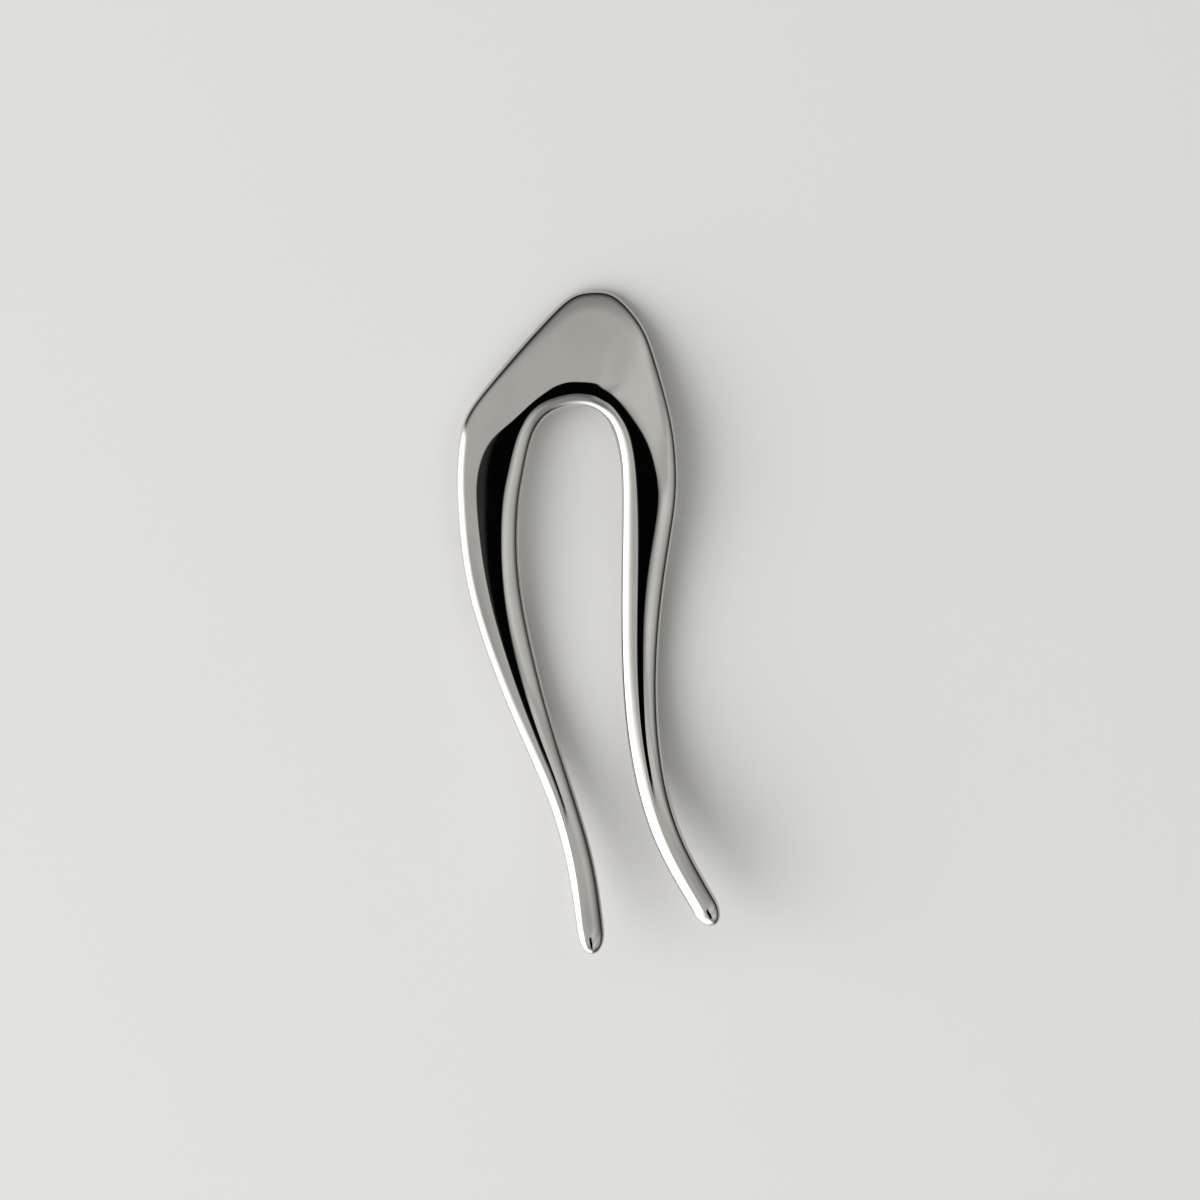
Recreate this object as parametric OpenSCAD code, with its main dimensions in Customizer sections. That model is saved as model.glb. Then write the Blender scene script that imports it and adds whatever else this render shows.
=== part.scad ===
// French hair pin, cast in one piece: a leaf-shaped head with a round arch cut
// into it, and two prongs that run down from it and curve up at their tips. A
// rim runs round the arch, and the head slopes down from it to its outer edge.
// It rests on the plane z = 0 with the prongs and the far edge of the head. +Y
// points to the top of the head.

/* [Pin] */
// Overall length, from the top of the head to the end of the longer prong
pin_length = 110; // [90:1:130]
// Thickness of the rim that runs round the arch
rim_thickness = 5; // [3.5:0.1:6]
// Height of the longer prong's tip above the surface that the pin lies on
tip_rise = 9.5; // [2:0.5:12]

/* [Finish] */
// Length of the rounded end of the left prong, which is the longer one
left_tip_length = 4; // [2.5:0.1:5]
// Length of the rounded end of the right prong
right_tip_length = 3.8; // [2:0.1:4.5]
// Rings between one row of the outline table and the next
rings_per_row = 5; // [2:1:5]

/* [Hidden] */
metal = [0.61, 0.60, 0.58];

// The outline table is drawn at this overall length, and scaled from it. The
// middle of its bounding box comes over the origin
drawn_length = 110;
drawn_middle = [-0.3, 0.15];
scale_up = pin_length / drawn_length;
half_length = pin_length / 2;

// The prongs touch the surface here, and rise from it towards their tips and
// towards the arch. From the second place on the arch keeps its height
rest_at = -9 * scale_up;
arch_at = 25 * scale_up;
// How late the tips curve up: 1 makes them straight, and more bends them later
bow_power = 1.8;

// How full the rolled edges are: 2 makes them elliptical, and less makes them
// leaner, with a tighter turn at the edge
roll_power = 1.65;
// The most that a rolled edge reaches inward on the underside, as a share of the
// section's width
under_reach = 0.38;

// Steps round one section: round the rim, across the underside, round the outer
// shoulder, up the plate to its crease, across the level band and down the
// collar to the rim
rim_steps = 10;
under_steps = 5;
shoulder_steps = 9;
plate_steps = 5;
band_steps = 4;
collar_steps = 3;
// Places of the rings that close a tip, as an angle on its rounded end
tip_angles = [18, 36, 54, 70, 82];

// One row for each section of the pin, from the left tip round the arch to the
// right tip. Columns: X and Y of its edge at the gap, X and Y of its outer edge,
// and how far across the section its level band begins and ends
GAP_X = 0;
GAP_Y = 1;
OUT_X = 2;
OUT_Y = 3;
BAND_FROM = 4;
BAND_TO = 5;
outline = [
    [  2.4, -50.6,  -2.1, -51.3, 0.50, 0.61],
    [  0.8, -39.6,  -3.8, -40.6, 0.47, 0.66],
    [ -2.6, -28.0,  -6.9, -29.6, 0.47, 0.60],
    [ -6.5, -15.5, -12.1, -17.6, 0.49, 0.62],
    [ -9.6,  -3.0, -17.1,  -5.0, 0.45, 0.63],
    [-11.6,   8.5, -20.7,   7.2, 0.34, 0.64],
    [-11.6,  19.0, -21.9,  18.8, 0.31, 0.69],
    [-10.8,  24.2, -22.0,  25.3, 0.27, 0.69],
    [ -9.9,  29.0, -21.5,  30.8, 0.24, 0.58],
    [ -8.7,  32.2, -20.2,  35.0, 0.22, 0.37],
    [ -6.9,  34.3, -16.6,  39.9, 0.24, 0.32],
    [ -4.9,  35.3, -11.5,  46.0, 0.18, 0.29],
    [ -3.2,  35.7,  -6.6,  51.2, 0.14, 0.25],
    [ -2.0,  35.8,  -2.9,  54.4, 0.12, 0.21],
    [ -0.9,  35.8,   0.8,  55.0, 0.11, 0.20],
    [  0.2,  35.6,   4.0,  54.5, 0.11, 0.20],
    [  1.3,  35.1,   7.0,  51.7, 0.11, 0.20],
    [  2.3,  34.2,   9.5,  48.0, 0.14, 0.23],
    [  3.2,  32.9,  11.2,  43.0, 0.17, 0.28],
    [  4.0,  31.0,  12.7,  37.6, 0.22, 0.36],
    [  4.6,  28.8,  13.9,  32.0, 0.24, 0.48],
    [  5.1,  25.8,  14.5,  26.0, 0.25, 0.58],
    [  5.3,  20.5,  14.4,  19.5, 0.28, 0.65],
    [  5.2,  11.0,  13.0,  10.4, 0.35, 0.59],
    [  5.1,   0.0,  11.7,  -0.2, 0.41, 0.55],
    [  5.5, -12.0,  11.3, -11.7, 0.43, 0.59],
    [  7.0, -24.0,  12.2, -23.1, 0.44, 0.55],
    [ 10.5, -36.5,  15.0, -34.6, 0.45, 0.58],
    [ 17.0, -48.0,  20.8, -45.5, 0.43, 0.54],
];

// One row for every other row of the outline. Columns: how far the rim's roll
// reaches across the section as a share of its width, and its height from its
// widest place to its top; the same two for the roll of the outer shoulder, and
// how deep that one is below its widest place; height of the level band above
// the underside; how steeply the collar falls to the gap, and the level band
// and the plate fall outward, and how much each of these three is bent on its
// way, in degrees. Heights and depth are shares of the rim's thickness
section_every = 2;
RIM_REACH = 0;
RIM_ROLL = 1;
SHOULDER_REACH = 2;
SHOULDER_ROLL = 3;
SHOULDER_DEPTH = 4;
BAND_HEIGHT = 5;
COLLAR_FALL = 6;
BAND_FALL = 7;
PLATE_FALL = 8;
BEND = 9;
sections = [
    [0.52, 0.30, 0.50, 0.23, 0.57, 0.84, 16, 0, 20, 3],
    [0.53, 0.31, 0.48, 0.27, 0.52, 0.87, 14, 0, 17, 2],
    [0.37, 0.36, 0.27, 0.25, 0.28, 0.89, 10.5, 2, 15, 3.5],
    [0.23, 0.31, 0.20, 0.25, 0.31, 0.82, 11.5, 2, 14, 3.5],
    [0.19, 0.29, 0.17, 0.24, 0.26, 0.77, 11, 1.9, 13, 3],
    [0.17, 0.26, 0.17, 0.31, 0.29, 0.74, 11.5, 0, 13.5, 1],
    [0.10, 0.24, 0.22, 0.43, 0.20, 0.72, 12.5, 0, 13.4, 1],
    [0.08, 0.23, 0.22, 0.45, 0.18, 0.71, 12.5, 0, 13.4, 1],
    [0.09, 0.20, 0.23, 0.43, 0.18, 0.71, 12.5, 0, 13.4, 1.5],
    [0.17, 0.32, 0.22, 0.35, 0.25, 0.72, 13, 0, 12.5, 3],
    [0.27, 0.33, 0.22, 0.26, 0.48, 0.76, 13, 0, 11.7, 2.9],
    [0.33, 0.32, 0.21, 0.27, 0.53, 0.82, 13, 0, 11.5, 3],
    [0.49, 0.34, 0.27, 0.26, 0.56, 0.88, 13, 0, 10.7, 2.7],
    [0.60, 0.34, 0.35, 0.31, 0.53, 0.93, 14, 0, 14, 3],
    [0.61, 0.30, 0.36, 0.27, 0.59, 0.92, 15, 0, 16, 3],
];

last_row = len(outline) - 1;

// The arch is so high above the surface that the far edge of the head rests on it
arch_rise = -min([for (i = [0 : last_row * rings_per_row])
    for (p = section_at(i / rings_per_row)) p[1]]);

// A row of a table, carried on in a straight line past either end
function row_at(rows, i) =
    i < 0 ? 2 * rows[0] - rows[-i] :
    i >= len(rows) ? 2 * rows[len(rows) - 1] - rows[2 * len(rows) - 2 - i] :
    rows[i];

// The same row, moved so that the smooth curve passes through the table's row
function control_row(rows, i) =
    (8 * row_at(rows, i) - row_at(rows, i - 1) - row_at(rows, i + 1)) / 6;

// The shares of four neighbouring rows in a point of a smooth cubic curve, with
// t running from 0 at the second of them to 1 at the third
function cubic_shares(t) =
    let (r = 1 - t)
    [r * r * r, 3 * t * t * t - 6 * t * t + 4, 3 * r * r * r - 6 * r * r + 4, t * t * t] / 6;

// A smooth curve through the rows of a table, at a place that may lie between two
function curve_at(rows, place) =
    let (i = min(floor(place), len(rows) - 2))
    cubic_shares(place - i) * [for (j = [i - 1 : i + 2]) control_row(rows, j)];

// How far the underside is above the surface, at a place along the pin
function lift(y) =
    y < rest_at ? tip_rise * pow((rest_at - y) / (rest_at + half_length), bow_power) :
    y < arch_at ? let (t = (y - rest_at) / (arch_at - rest_at)) arch_rise * t * t * (3 - 2 * t) :
    arch_rise;

// The point of a rolled edge whose outward side faces a given direction. Its
// widest place is at the edge of the section, and its middle lies inward of it.
// Above and below are its reach inward and its height, over and under that place
function roll_point(widest, inward, above, below, facing) =
    let (
        half_size = sin(facing) > 0 ? above : below,
        x = pow(half_size[0] * abs(cos(facing)), 1 / (roll_power - 1)),
        y = pow(half_size[1] * abs(sin(facing)), 1 / (roll_power - 1)),
        size = pow(pow(x, roll_power) + pow(y, roll_power), 1 / roll_power)
    )
    widest + [inward * half_size[0] + sign(cos(facing)) * half_size[0] * x / size,
        sign(sin(facing)) * half_size[1] * y / size];

// Downward angle of the underside from the rim to the shoulder, seen from a
// first guess at it. The bend hollows it between its two ends
function under_fall(rim, rim_under, shoulder, shoulder_under, bend, guess) =
    let (
        a = roll_point(rim, 1, rim_under, rim_under, guess - 90 - bend),
        b = roll_point(shoulder, -1, shoulder_under, shoulder_under, guess - 90 + bend)
    )
    atan2(a[1] - b[1], b[0] - a[0]);

// Points along a web, from a to b, that leave and arrive at the given slopes. They
// lie closer together towards its ends, where the section bends
function web(a, b, slope_a, slope_b, steps) =
    let (span = b[0] - a[0])
    [for (i = [0 : steps - 1]) let (t = (1 - cos(180 * i / steps)) / 2, r = 1 - t)
        [a[0] + span * t,
         a[1] * (1 + 2 * t) * r * r + b[1] * (3 - 2 * t) * t * t
             + span * t * r * (slope_a * r - slope_b * t)]];

// Closed outline of a section: the distance from the gap, and the height. The
// band keeps its height, and the rolls hang from the slopes on its two sides
function section(width, band_from, band_to, s) =
    let (
        bend = s[BEND],
        inner = [width * band_from, s[BAND_HEIGHT] * rim_thickness],
        band_width = width * (band_to - band_from),
        crease = inner + [band_width, -tan(s[BAND_FALL]) * band_width],

        rim_over = [s[RIM_REACH] * width, s[RIM_ROLL] * rim_thickness],
        rim_from = 90 + s[COLLAR_FALL] + bend,
        rim_end = roll_point([0, 0], 1, rim_over, rim_over, rim_from),
        collar_drop = tan(s[COLLAR_FALL]) * (inner[0] - rim_end[0]),
        rim = [0, inner[1] - collar_drop - rim_end[1]],
        rim_under = [min(rim_over[0], under_reach * width), rim[1]],

        shoulder_over = [s[SHOULDER_REACH] * width, s[SHOULDER_ROLL] * rim_thickness],
        shoulder_to = 90 - s[PLATE_FALL] - bend,
        shoulder_end = roll_point([width, 0], -1, shoulder_over, shoulder_over, shoulder_to),
        plate_drop = tan(s[PLATE_FALL]) * (shoulder_end[0] - crease[0]),
        shoulder = [width, crease[1] - plate_drop - shoulder_end[1]],
        shoulder_under = [min(shoulder_over[0], under_reach * width),
            s[SHOULDER_DEPTH] * rim_thickness],

        under_bend = 2 * bend,
        low_guess = under_fall(rim, rim_under, shoulder, shoulder_under, under_bend, 0),
        low = under_fall(rim, rim_under, shoulder, shoulder_under, under_bend, -low_guess),
        rim_to = 270 - under_bend - low,
        shoulder_from = under_bend - low - 90,
        rim_arc = [for (i = [0 : rim_steps])
            roll_point(rim, 1, rim_over, rim_under,
                rim_from + (rim_to - rim_from) * i / rim_steps)],
        shoulder_arc = [for (i = [0 : shoulder_steps])
            roll_point(shoulder, -1, shoulder_over, shoulder_under,
                shoulder_from + (shoulder_to - shoulder_from) * i / shoulder_steps)]
    )
    concat(
        [for (i = [0 : rim_steps - 1]) rim_arc[i]],
        web(rim_arc[rim_steps], shoulder_arc[0],
            -tan(low + under_bend), -tan(low - under_bend), under_steps),
        [for (i = [0 : shoulder_steps - 1]) shoulder_arc[i]],
        web(shoulder_arc[shoulder_steps], crease,
            -tan(s[PLATE_FALL] + bend), -tan(s[PLATE_FALL] - bend), plate_steps),
        web(crease, inner,
            -tan(s[BAND_FALL] + bend), -tan(s[BAND_FALL] - bend), band_steps),
        web(inner, rim_arc[0],
            tan(s[COLLAR_FALL] - bend), tan(s[COLLAR_FALL] + bend), collar_steps)
    );

// The two edges of the pin, at the gap and outside, at a place between the two
// ends of the outline table
function edges_at(place) =
    let (row = curve_at(outline, place))
    scale_up * [[row[GAP_X], row[GAP_Y]] - drawn_middle, [row[OUT_X], row[OUT_Y]] - drawn_middle];

// The section at such a place
function section_at(place) =
    let (row = curve_at(outline, place), edges = edges_at(place))
    section(norm(edges[1] - edges[0]), row[BAND_FROM], row[BAND_TO],
        curve_at(sections, place / section_every));

// The ring of points round the pin at such a place
function ring_at(place) =
    let (
        edges = edges_at(place),
        across = (edges[1] - edges[0]) / norm(edges[1] - edges[0]),
        base = lift(edges[0][1])
    )
    [for (p = section_at(place))
        [edges[0][0] + across[0] * p[0], edges[0][1] + across[1] * p[0], base + p[1]]];

// Middle of a ring
function middle(ring) = [for (p = ring) 1] * ring / len(ring);

// Rings that close an end, from the first or last ring towards the very tip
function tip_rings(end_ring, next_ring, length) =
    let (
        centre = middle(end_ring),
        along = (centre - middle(next_ring)) / norm(centre - middle(next_ring))
    )
    [for (a = tip_angles)
        [for (p = end_ring) centre + (p - centre) * cos(a) + along * length * sin(a)]];

// The very end of a tip
function tip_point(end_ring, next_ring, length) =
    let (centre = middle(end_ring), back = middle(next_ring))
    centre + (centre - back) / norm(centre - back) * length;

// A list in the opposite order
function reversed(list) = [for (i = [len(list) - 1 : -1 : 0]) list[i]];

// The two triangles of the four-sided face between points a, b, c and d, cut
// along its longer diagonal
function cut_face(points, a, b, c, d) =
    norm(points[a] - points[c]) >= norm(points[b] - points[d]) ?
        [[a, b, c], [a, c, d]] :
        [[a, b, d], [b, c, d]];

// The pin is one skin over all the rings, closed by a fan of faces at each tip
module hair_pin() {
    color(metal) {
        body_rings = [for (i = [0 : last_row * rings_per_row]) ring_at(i / rings_per_row)];
        last = len(body_rings) - 1;
        left_end = body_rings[0];
        left_next = body_rings[1];
        right_end = body_rings[last];
        right_next = body_rings[last - 1];
        rings = concat(
            reversed(tip_rings(left_end, left_next, left_tip_length * scale_up)),
            body_rings,
            tip_rings(right_end, right_next, right_tip_length * scale_up));
        around = len(left_end);
        count = len(rings);
        points = concat(
            [for (ring = rings) for (p = ring) p],
            [tip_point(left_end, left_next, left_tip_length * scale_up),
             tip_point(right_end, right_next, right_tip_length * scale_up)]);
        left_point = count * around;
        right_point = left_point + 1;
        last_ring = (count - 1) * around;
        sides = [for (j = [0 : count - 2]) for (i = [0 : around - 1])
            let (k = (i + 1) % around)
            each cut_face(points, j * around + i, (j + 1) * around + i,
                (j + 1) * around + k, j * around + k)];
        left_fan = [for (i = [0 : around - 1]) [left_point, i, (i + 1) % around]];
        right_fan = [for (i = [0 : around - 1])
            [right_point, last_ring + (i + 1) % around, last_ring + i]];
        polyhedron(points, concat(sides, left_fan, right_fan));
    }
}

hair_pin();
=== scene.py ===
# %% [markdown]
# # A polished metal hair pin
#
# This lesson dresses a cast metal hair pin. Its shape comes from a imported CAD
# model, which is the fixed frame: every piece rides on one of its bodies, and
# nothing here changes its size. What is left to do is what makes it look real:
# a smooth skin, a mirror finish with its small marks, and a studio to reflect.
#
# All lengths are in metres, in the same frame as the CAD. The pin lies on its
# back on the plane z = 0, and +Y points to the top of its head.

import math

import bpy
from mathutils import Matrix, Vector


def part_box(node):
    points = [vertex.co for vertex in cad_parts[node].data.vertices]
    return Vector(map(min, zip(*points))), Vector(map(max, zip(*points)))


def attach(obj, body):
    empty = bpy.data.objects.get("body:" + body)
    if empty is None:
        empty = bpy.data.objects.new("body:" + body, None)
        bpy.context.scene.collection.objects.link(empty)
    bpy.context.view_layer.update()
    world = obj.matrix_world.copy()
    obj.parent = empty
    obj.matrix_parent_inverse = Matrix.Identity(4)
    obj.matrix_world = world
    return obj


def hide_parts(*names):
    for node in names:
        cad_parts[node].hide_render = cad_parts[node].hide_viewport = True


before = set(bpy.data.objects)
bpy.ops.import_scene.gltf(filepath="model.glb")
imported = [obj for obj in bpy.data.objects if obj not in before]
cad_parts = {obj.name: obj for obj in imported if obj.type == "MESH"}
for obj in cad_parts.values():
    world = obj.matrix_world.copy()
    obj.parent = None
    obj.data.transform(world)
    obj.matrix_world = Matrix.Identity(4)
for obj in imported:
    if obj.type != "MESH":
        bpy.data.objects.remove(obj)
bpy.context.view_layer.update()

MM = 0.001
CAD_NODE = "hair_pin"
low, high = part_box(CAD_NODE)
print("pin:", [round(v / MM, 1) for v in high - low], "mm")

# %% [markdown]
# ## The pin's skin
#
# The real pin is one smooth casting. The CAD node is a net of flat triangles,
# and each of them would show in a mirror finish. So the net is copied, its loose
# corners are merged, its pairs of triangles become four-sided faces again, and a
# Subdivision Surface modifier rounds it. That keeps the CAD's shape and size,
# which a form drawn anew would not.

# %% Copy the CAD net and merge its corners
MERGE_DISTANCE = 0.001 * MM


def make_active(thing):
    """Selects one object only, because an operator acts on all that is selected."""
    for other in bpy.context.selected_objects:
        other.select_set(False)
    thing.select_set(True)
    bpy.context.view_layer.objects.active = thing


def merged_copy(node_name, piece_name):
    """A copy of a CAD node with a mesh of its own, whose corners are joined."""
    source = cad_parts[node_name]
    piece = bpy.data.objects.new(piece_name, source.data.copy())
    bpy.context.scene.collection.objects.link(piece)
    make_active(piece)
    bpy.ops.object.mode_set(mode="EDIT")
    bpy.ops.mesh.select_all(action="SELECT")
    bpy.ops.mesh.customdata_custom_splitnormals_clear()
    bpy.ops.mesh.remove_doubles(threshold=MERGE_DISTANCE)
    bpy.ops.object.mode_set(mode="OBJECT")
    return piece


pin = merged_copy(CAD_NODE, "pin_skin")
print("corners:", len(pin.data.vertices), "triangles:", len(pin.data.polygons))

# %% [markdown]
# A subdivision surface is smoothest over four-sided faces that run with the
# form, along the pin and round it. Each of them was cut into two triangles for
# the CAD, so the pairs are joined again.

# %% Join the triangles into four-sided faces
ANY_ANGLE = math.radians(180)

bpy.ops.object.mode_set(mode="EDIT")
bpy.ops.mesh.select_all(action="SELECT")
bpy.ops.mesh.tris_convert_to_quads(face_threshold=ANY_ANGLE, shape_threshold=ANY_ANGLE)
bpy.ops.object.mode_set(mode="OBJECT")
four_sided = sum(len(face.vertices) == 4 for face in pin.data.polygons)
print("four-sided faces:", four_sided, "others:", len(pin.data.polygons) - four_sided)

# %% [markdown]
# Now the net is rounded. Two levels make each face sixteen small ones, which is
# enough for a reflection to run along the prongs without a corner in it.

# %% Round the net
SKIN_LEVELS = 2


def subdivide(piece, levels):
    """Rounds a piece with a Subdivision Surface, which is then applied."""
    make_active(piece)
    modifier = piece.modifiers.new("rounding", "SUBSURF")
    modifier.levels = levels
    modifier.render_levels = levels
    bpy.ops.object.modifier_apply(modifier=modifier.name)
    bpy.ops.object.shade_smooth()


subdivide(pin, SKIN_LEVELS)
print("faces of the skin:", len(pin.data.polygons))

# %% [markdown]
# ## Polished plating
#
# The pin is cast, polished by hand and plated, so it is a mirror with a slight
# grey warmth. A perfect mirror looks drawn, though. A real one keeps faint waves
# from the polishing wheel, hairlines along the prongs and a few tiny specks.
# They are noise patterns of different sizes that bend the surface a little and
# change how sharply it reflects. A picture of scratches could do the same, but
# noise needs no file, has no seams and stays fine from close by. It reads Object
# coordinates, in metres, so a scale of 1000 makes a pattern about a millimetre
# across.
#
# First come short helpers, one for each kind of node that the patterns need.

# %% Helpers for node graphs


def link(tree, source, target):
    """Joins an output to an input."""
    tree.links.new(source, target)


def math_node(tree, operation, *values):
    """A Math node whose inputs are sockets or numbers. Returns its output."""
    node = tree.nodes.new("ShaderNodeMath")
    node.operation = operation
    for slot, value in zip(node.inputs, values):
        if isinstance(value, (int, float)):
            slot.default_value = value
        else:
            link(tree, value, slot)
    return node.outputs[0]


def ramp(tree, value, start, end, before, after):
    """A smooth step from one level to another between two places of a value."""
    node = tree.nodes.new("ShaderNodeMapRange")
    node.interpolation_type = "SMOOTHSTEP"
    link(tree, value, node.inputs["Value"])
    node.inputs["From Min"].default_value = start
    node.inputs["From Max"].default_value = end
    node.inputs["To Min"].default_value = before
    node.inputs["To Max"].default_value = after
    return node.outputs["Result"]


def noise(tree, place, scale, detail):
    """A soft random pattern between 0 and 1. Detail adds finer layers to it."""
    node = tree.nodes.new("ShaderNodeTexNoise")
    link(tree, place, node.inputs["Vector"])
    node.inputs["Scale"].default_value = scale
    node.inputs["Detail"].default_value = detail
    return node.outputs["Fac"]


def bump(tree, height, depth, below=None):
    """Bends the surface by a height pattern, on top of another bump."""
    node = tree.nodes.new("ShaderNodeBump")
    node.inputs["Distance"].default_value = depth
    link(tree, height, node.inputs["Height"])
    if below is not None:
        link(tree, below, node.inputs["Normal"])
    return node.outputs["Normal"]


# %% [markdown]
# The plating's colour drifts between two greys in clouds about a centimetre
# across, where it has been handled. There it is a little less sharp too. The
# hairlines are a fine noise that is stretched twenty times along the pin, and
# the strongest of them blur the mirror. The specks are the rare peaks of a
# coarser noise, sunk into the surface.
#
# Soft steps pick these places out of the noise. A step is written as the value
# where it starts, the value where it ends, and the level before and after it.

# %% Make the polished metal
METAL_COLOUR = (0.63, 0.615, 0.58, 1)
HANDLED_COLOUR = (0.60, 0.585, 0.55, 1)
CLEAN_ROUGHNESS = 0.035
HANDLED_ROUGHNESS = 0.06
SCUFF_ROUGHNESS = 0.05
CLOUD_SCALE = 130
CLOUD_DETAIL = 3
CLOUD_TINT = (0.35, 0.65, 0, 1)
CLOUD_BLUR = (0.40, 0.70, CLEAN_ROUGHNESS, HANDLED_ROUGHNESS)
WAVE_SCALE = 220
WAVE_DETAIL = 1
WAVE_DEPTH = 0.004 * MM
HAIRLINE_SCALE = 9000
HAIRLINE_DETAIL = 1
HAIRLINE_STRETCH = (1, 0.05, 1)
HAIRLINE_SCUFFS = (0.60, 0.72, 0, 1)
HAIRLINE_DEPTH = 0.00015 * MM
SPECK_SCALE = 2600
SPECK_DETAIL = 0
SPECK_PITS = (0.80, 0.86, 1, 0)
SPECK_DEPTH = 0.002 * MM

# Places of the slots that a Mix node uses for colours
MIX_SHARE = 0
MIX_FIRST = 6
MIX_SECOND = 7
MIX_RESULT = 2


def polished_metal():
    """The plating, with its clouds, waves, hairlines and specks."""
    material = bpy.data.materials.new("polished_plating")
    material.use_nodes = True
    tree = material.node_tree
    shader = tree.nodes["Principled BSDF"]
    shader.inputs["Metallic"].default_value = 1.0
    place = tree.nodes.new("ShaderNodeTexCoord").outputs["Object"]

    clouds = noise(tree, place, CLOUD_SCALE, CLOUD_DETAIL)
    tint = tree.nodes.new("ShaderNodeMix")
    tint.data_type = "RGBA"
    link(tree, ramp(tree, clouds, *CLOUD_TINT), tint.inputs[MIX_SHARE])
    tint.inputs[MIX_FIRST].default_value = METAL_COLOUR
    tint.inputs[MIX_SECOND].default_value = HANDLED_COLOUR
    link(tree, tint.outputs[MIX_RESULT], shader.inputs["Base Color"])

    along = tree.nodes.new("ShaderNodeMapping")
    link(tree, place, along.inputs["Vector"])
    along.inputs["Scale"].default_value = HAIRLINE_STRETCH
    hairlines = noise(tree, along.outputs["Vector"], HAIRLINE_SCALE, HAIRLINE_DETAIL)
    scuffs = ramp(tree, hairlines, *HAIRLINE_SCUFFS)
    handled = ramp(tree, clouds, *CLOUD_BLUR)
    rough = math_node(tree, "MULTIPLY_ADD", scuffs, SCUFF_ROUGHNESS, handled)
    link(tree, rough, shader.inputs["Roughness"])

    waves = noise(tree, place, WAVE_SCALE, WAVE_DETAIL)
    surface = bump(tree, waves, WAVE_DEPTH)
    surface = bump(tree, hairlines, HAIRLINE_DEPTH, surface)
    pits = ramp(tree, noise(tree, place, SPECK_SCALE, SPECK_DETAIL), *SPECK_PITS)
    surface = bump(tree, pits, SPECK_DEPTH, surface)
    link(tree, surface, shader.inputs["Normal"])
    return material


pin.data.materials.clear()
pin.data.materials.append(polished_metal())
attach(pin, "root")
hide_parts(CAD_NODE)
print("finish:", pin.data.materials[0].name)

# %% [markdown]
# ## The table
#
# The pin lies on a plain white table top. A flat plane is enough for it, because
# neither its edges nor its thickness are ever seen. It is so wide that the lower
# edges of the metal reflect nothing but table.

# %% Add the table top
TABLE_SIZE = 6.0
TABLE_COLOUR = (0.86, 0.856, 0.85, 1)
TABLE_ROUGHNESS = 0.3

bpy.ops.mesh.primitive_plane_add(size=TABLE_SIZE, location=(0, 0, 0))
table = bpy.context.object
table.name = "table_top"
white = bpy.data.materials.new("white_table")
white.use_nodes = True
paint = white.node_tree.nodes["Principled BSDF"]
paint.inputs["Base Color"].default_value = TABLE_COLOUR
paint.inputs["Roughness"].default_value = TABLE_ROUGHNESS
table.data.materials.append(white)

# %% [markdown]
# ## The studio
#
# A mirror shows what stands round it, so the studio matters more than the
# metal. Here it is a world: its light depends only on the direction in which a
# ray leaves. Lamps and panels could stand there instead, but their edges would
# have to be placed one by one for each slope and edge of the pin.
#
# The direction has three parts. x runs to the right and y to the far side, and
# both are 0 straight up and 1 level with the table. The third, z, points up, and
# gives the height over the table in degrees. Each part of the studio is made of
# soft steps in these, written as for the metal: the place where a step starts,
# the place where it ends, and the light before and after it.
#
# ### The tent
#
# A pale tent stands all round. Near the table it is in shade, which draws the
# fine dark line along the pin's outer edges. Part of the way to the right and
# front it has a dim seam, and beyond that it is brightest. It grows dimmer again
# at the far right and at the back.

# %% The tent
TENT_LIGHT = 0.66
# A step in the height over the table
TENT_FOOT = (8, 38, 0.08, 0.95)
# Steps in x less y, which grows towards the right and the front
TENT_MIDDLE = (-0.30, -0.05, 0.95, 1.2)
TENT_SEAM = (0.10, 0.27, 1, 0.8)
TENT_RIGHT = (0.34, 0.50, 1, 1.38)
# A step in x, and one in y
TENT_FAR_RIGHT = (0.50, 0.95, 1, 0.62)
TENT_BACK = (0.44, 0.85, 1, 0.55)


def times(tree, first, second):
    """The product of two sockets, or of a socket and a number."""
    return math_node(tree, "MULTIPLY", first, second)


def tent_light(tree, x, y, height):
    """The tent's light in each direction, before the ceiling takes its share."""
    light = times(tree, ramp(tree, height, *TENT_FOOT), TENT_LIGHT)
    light = times(tree, light, ramp(tree, x, *TENT_FAR_RIGHT))
    light = times(tree, light, ramp(tree, y, *TENT_BACK))
    front_right = math_node(tree, "SUBTRACT", x, y)
    for step in (TENT_MIDDLE, TENT_SEAM, TENT_RIGHT):
        light = times(tree, light, ramp(tree, front_right, *step))
    return light


# %% [markdown]
# ### The dark ceiling
#
# The ceiling straight above is dark, like the black camera that hangs there in
# a real studio. It gives the level parts of the pin their black bands. An arm
# holds it from the far side, and draws the thin black line down the prongs,
# where they have begun to rise. On its left the dark is lit a little by the soft
# box, so a black band ends in a dark grey fringe there. The front of the studio
# is dim.

# %% The dark ceiling
DARK = 0.002
# The ceiling is an ellipse. Its middle and half widths are in degrees, and its
# edge is a step in the distance from the middle, counted in half widths
CEILING_MIDDLE = (2.4, -2.7)
CEILING_REACH = (14.0, 16.6)
CEILING_EDGE = (0.98, 1.5, DARK, 1)
# The arm's middle is a place in x, its side a step in the distance from there,
# and its start and end are steps in y
ARM_MIDDLE = 0.02
ARM_SIDE = (0.12, 0.21, DARK, 1)
ARM_START = (-0.30, -0.20, 1, DARK)
ARM_END = (0.33, 0.375, DARK, 1)
# A step in x, and one in y
GLEAM = (-0.135, -0.095, 0.055, DARK)
DIM_FRONT = (-0.52, -0.10, 0.42, 1)


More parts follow.
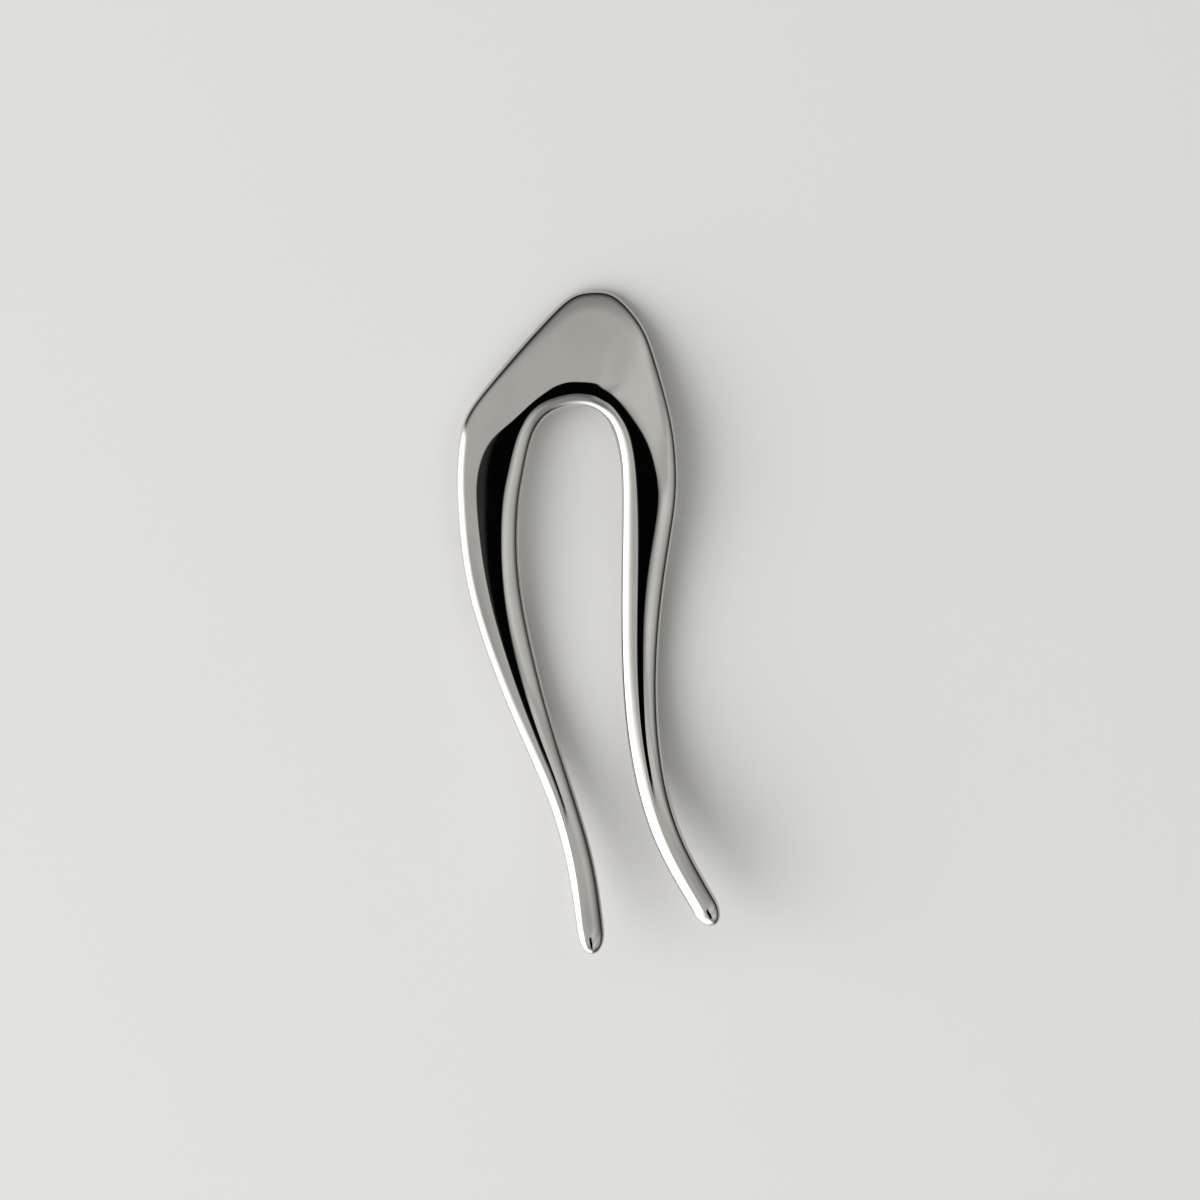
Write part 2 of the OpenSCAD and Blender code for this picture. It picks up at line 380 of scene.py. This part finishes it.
def distance_from(tree, x, y, middle, reach):
    """How far a ray is from a middle, as a share of an ellipse's half widths.

    The middle and the half widths are in degrees from straight up. Near there, x
    and y are angles in radians."""
    squares = []
    for part, centre, half in zip((x, y), middle, reach):
        share = math_node(tree, "MULTIPLY_ADD", part, math.degrees(1) / half, -centre / half)
        squares.append(times(tree, share, share))
    return math_node(tree, "SQRT", math_node(tree, "ADD", *squares))


def ceiling_share(tree, x, y, z):
    """The share of the tent's light that the ceiling, its arm and the dim front leave."""
    distance = distance_from(tree, x, y, CEILING_MIDDLE, CEILING_REACH)
    ceiling = ramp(tree, distance, *CEILING_EDGE)
    beside = math_node(tree, "ABSOLUTE", math_node(tree, "SUBTRACT", x, ARM_MIDDLE))
    arm = ramp(tree, beside, *ARM_SIDE)
    for end in (ARM_START, ARM_END):
        arm = math_node(tree, "MAXIMUM", arm, ramp(tree, y, *end))
    share = math_node(tree, "MINIMUM", ceiling, arm)
    share = math_node(tree, "MAXIMUM", share, ramp(tree, x, *GLEAM))
    share = times(tree, share, ramp(tree, y, *DIM_FRONT))
    # A ray that points down meets no ceiling, and its share is 1
    above = math_node(tree, "GREATER_THAN", z, 0)
    return math_node(tree, "MULTIPLY_ADD", math_node(tree, "SUBTRACT", share, 1), above, 1)


# %% [markdown]
# ### The soft box
#
# A long soft box stands low on the left. It burns the edges that face it to
# white: the outer edge of the left prong, and the edge of the right prong at
# the gap. Its turn is counted in degrees from its own direction. It ends
# sharply at the far side, where the head's slanted edge stays grey, and fades
# slowly towards the front. An area lamp could be the box, but then a fade like
# that would need a picture or many lamps.

# %% The soft box
BOX_AZIMUTH = math.radians(213)
BOX_LIGHT = 2.6
# Steps in the height over the table
BOX_BOTTOM = (-2, 6, 0, 1)
BOX_TOP = (24, 46, 1, 0)
# Steps in the turn
BOX_FAR_END = (-63, -47, 0, 1)
BOX_FRONT_END = (12, 92, 1, 0)


def box_light(tree, x, y, height):
    """The soft box's light, 1 at its middle."""
    box_x = math.cos(BOX_AZIMUTH)
    box_y = math.sin(BOX_AZIMUTH)
    ahead = math_node(tree, "ADD", times(tree, x, box_x), times(tree, y, box_y))
    aside = math_node(tree, "SUBTRACT", times(tree, y, box_x), times(tree, x, box_y))
    turn = times(tree, math_node(tree, "ARCTAN2", aside, ahead), math.degrees(1))
    light = times(tree, ramp(tree, turn, *BOX_FAR_END), ramp(tree, turn, *BOX_FRONT_END))
    light = times(tree, light, ramp(tree, height, *BOX_BOTTOM))
    return times(tree, light, ramp(tree, height, *BOX_TOP))


# %% [markdown]
# ### All of it together
#
# The ceiling takes its share from the tent, and the soft box is added to what
# is left. The whole is a trace warmer than white, as studio bulbs are. The
# colours are shown as they are, without a film look that would flatten the
# blacks.

# %% Build the world
WARMTH = (1.0, 0.995, 0.985)


def studio_world():
    """A world whose light is the whole studio, by the direction of the ray."""
    world = bpy.data.worlds.new("studio")
    world.use_nodes = True
    tree = world.node_tree
    ray = tree.nodes.new("ShaderNodeTexCoord").outputs["Generated"]
    split = tree.nodes.new("ShaderNodeSeparateXYZ")
    link(tree, ray, split.inputs[0])
    x, y, z = split.outputs
    height = times(tree, math_node(tree, "ARCSINE", z), math.degrees(1))
    tent = times(tree, tent_light(tree, x, y, height), ceiling_share(tree, x, y, z))
    box = box_light(tree, x, y, height)
    light = math_node(tree, "MULTIPLY_ADD", box, BOX_LIGHT, tent)
    colour = tree.nodes.new("ShaderNodeCombineXYZ")
    for channel, warmth in zip(colour.inputs, WARMTH):
        link(tree, times(tree, light, warmth), channel)
    link(tree, colour.outputs[0], tree.nodes["Background"].inputs["Color"])
    return world


bpy.context.scene.world = studio_world()
bpy.context.scene.view_settings.view_transform = "Standard"
print("nodes of the studio:", len(bpy.context.scene.world.node_tree.nodes))

# %% [markdown]
# ## The key light
#
# The world alone would light the table from all sides, and the pin would seem
# to float. A large lamp low on the left throws its shadow to the right. A small
# one would draw a hard shadow everywhere. With this one it is dark where the pin
# touches the table, and wide and pale under the tips, which are about a
# centimetre above it. The lamp isn't seen in reflections, because the soft box
# already stands there for it.

# %% Add the key light
KEY_AZIMUTH = math.radians(207)
KEY_HEIGHT = math.radians(30)
KEY_DISTANCE = 1.5
KEY_SIZE = (1.8, 1.5)
KEY_POWER = 15.7


def key_light():
    """A large lamp that faces the pin and doesn't show in the metal."""
    lamp = bpy.data.lights.new("key_light", "AREA")
    lamp.shape = "RECTANGLE"
    lamp.size, lamp.size_y = KEY_SIZE
    lamp.energy = KEY_POWER
    key = bpy.data.objects.new("key_light", lamp)
    level = math.cos(KEY_HEIGHT)
    toward = Vector((
        math.cos(KEY_AZIMUTH) * level, math.sin(KEY_AZIMUTH) * level, math.sin(KEY_HEIGHT)))
    key.location = toward * KEY_DISTANCE
    key.rotation_euler = toward.to_track_quat("Z", "Y").to_euler()
    key.visible_glossy = False
    bpy.context.scene.collection.objects.link(key)
    return key


key = key_light()
print("key light at:", [round(v, 2) for v in key.location])

# %% [markdown]
# ## The camera
#
# The picture is taken from straight above with a long lens, so the pin shows
# almost as in a plan. An orthographic camera would make it a true plan, but a
# lens keeps some depth when the camera moves to another side. The lens is set so that a
# frame 1200 pixels wide would show about a sixth of a millimetre of the table in each pixel,
# and the pin lies a little left of its middle.

# %% Add the camera
PICTURE_WIDTH = 1200
PIXEL_SIZE = 0.16576 * MM
CAMERA_MIDDLE = (1.96 * MM, 3.60 * MM)
CAMERA_HEIGHT = 3.0

view = bpy.data.cameras.new("camera")
view.lens = view.sensor_width * CAMERA_HEIGHT / (PICTURE_WIDTH * PIXEL_SIZE)
camera = bpy.data.objects.new("camera", view)
camera.location = (*CAMERA_MIDDLE, CAMERA_HEIGHT)
bpy.context.scene.collection.objects.link(camera)
bpy.context.scene.camera = camera
print("lens:", round(view.lens), "mm")
